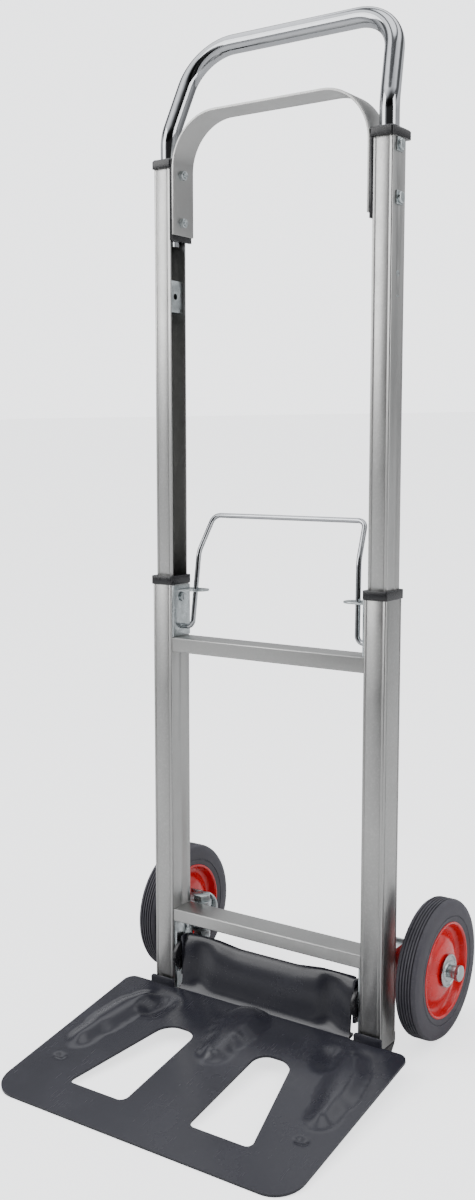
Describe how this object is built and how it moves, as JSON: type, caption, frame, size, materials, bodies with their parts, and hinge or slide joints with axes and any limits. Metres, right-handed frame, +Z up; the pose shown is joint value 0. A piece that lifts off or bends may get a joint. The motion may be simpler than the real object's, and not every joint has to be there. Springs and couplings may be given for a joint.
{
  "type": "hand truck",
  "caption": "Folding aluminium hand truck with a telescopic mast, chromed grip, fold-up toe plate and two swing-in wheels with red rims.",
  "frame": {"origin": "on the floor, at the bottom centre of the bounding box, mast extended and toe plate down", "axes": "+X to the right and along the wheel axles, +Y to the back (wheel side), +Z up; the toe plate points to -Y and the rails lean back about 4.9 degrees"},
  "size_m": [0.42, 0.4279, 1.1348],
  "materials": {
    "satin_aluminium": "satin anodised extrusion",
    "zinc_steel": "zinc plated",
    "chrome": "polished chrome plate",
    "black_steel": "satin black powder coat",
    "red_enamel": "gloss red enamel",
    "black_plastic": "moulded, lightly grained",
    "nylon": "natural nylon",
    "tyre_rubber": "solid rubber"
  },
  "bodies": {
    "frame": {"lower_rail_left": "satin_aluminium", "lower_rail_right": "satin_aluminium", "upper_crossbar": "satin_aluminium", "lower_crossbar": "satin_aluminium", "crossbar_plugs": "satin_aluminium", "crossbar_screws": "zinc_steel", "collar_left": "black_plastic", "collar_right": "black_plastic", "guide_pad_left": "nylon", "guide_pad_right": "nylon", "latch_bracket_left": "zinc_steel", "latch_bracket_right": "zinc_steel", "latch_screws": "zinc_steel", "foot_plug_left": "black_plastic", "foot_plug_right": "black_plastic", "fold_bracket_left": "zinc_steel", "fold_bracket_right": "zinc_steel", "fold_rivets": "zinc_steel", "pivot_spacers": "zinc_steel", "pivot_bolts": "zinc_steel", "pivot_nuts": "zinc_steel", "toe_pins": "zinc_steel"},
    "mast": {"mast_rail_left": "satin_aluminium", "mast_rail_right": "satin_aluminium", "mast_cap_left": "black_plastic", "mast_cap_right": "black_plastic", "handle": "chrome", "handle_strap": "satin_aluminium", "handle_bolts": "zinc_steel", "handle_washers": "zinc_steel", "handle_nuts": "zinc_steel", "lock_strike_lower_left": "zinc_steel", "lock_strike_lower_right": "zinc_steel", "lock_strike_upper_left": "zinc_steel", "lock_strike_upper_right": "zinc_steel", "strike_rivets": "zinc_steel"},
    "bail": {"release_bail": "chrome"},
    "toe": {"toe_plate": "black_steel", "toe_bosses": "black_plastic"},
    "bracket_left": {"wheel_bracket_left": "zinc_steel", "axle_left": "zinc_steel", "axle_nuts_left": "zinc_steel", "axle_washers_left": "zinc_steel", "axle_spacer_left": "zinc_steel"},
    "wheel_left": {"tyre_left": "tyre_rubber", "rim_left": "red_enamel", "hub_bushes_left": "nylon"},
    "bracket_right": {"wheel_bracket_right": "zinc_steel", "axle_right": "zinc_steel", "axle_nuts_right": "zinc_steel", "axle_washers_right": "zinc_steel", "axle_spacer_right": "zinc_steel"},
    "wheel_right": {"tyre_right": "tyre_rubber", "rim_right": "red_enamel", "hub_bushes_right": "nylon"}
  },
  "joints": [
    {"name": "mast_slide", "type": "slide", "parent": "frame", "child": "mast", "axis": [0, 0.0861, 0.9963], "range_m": [-0.385, 0]},
    {"name": "bail_swing", "type": "hinge", "parent": "frame", "child": "bail", "pos_m": [0, 0.09519, 0.46325], "axis": [1, 0, 0], "range_deg": [-2, 2]},
    {"name": "toe_fold", "type": "hinge", "parent": "frame", "child": "toe", "pos_m": [0, 0.05393, 0.06131], "axis": [-1, 0, 0], "range_deg": [0, 100]},
    {"name": "wheel_fold_left", "type": "hinge", "parent": "frame", "child": "bracket_left", "pos_m": [-0.122, 0.09398, 0.08344], "axis": [0, -0.0861, -0.9963], "range_deg": [0, 90]},
    {"name": "wheel_spin_left", "type": "hinge", "parent": "bracket_left", "child": "wheel_left", "pos_m": [-0.1793, 0.13383, 0.08], "axis": [1, 0, 0], "continuous": true},
    {"name": "wheel_fold_right", "type": "hinge", "parent": "frame", "child": "bracket_right", "pos_m": [0.122, 0.09398, 0.08344], "axis": [0, 0.0861, 0.9963], "range_deg": [0, 90]},
    {"name": "wheel_spin_right", "type": "hinge", "parent": "bracket_right", "child": "wheel_right", "pos_m": [0.1793, 0.13383, 0.08], "axis": [1, 0, 0], "continuous": true}
  ],
  "couplings": [
    {"joint": "wheel_fold_left", "follows": "toe_fold", "ratio": 0.9},
    {"joint": "wheel_fold_right", "follows": "toe_fold", "ratio": 0.9}
  ]
}
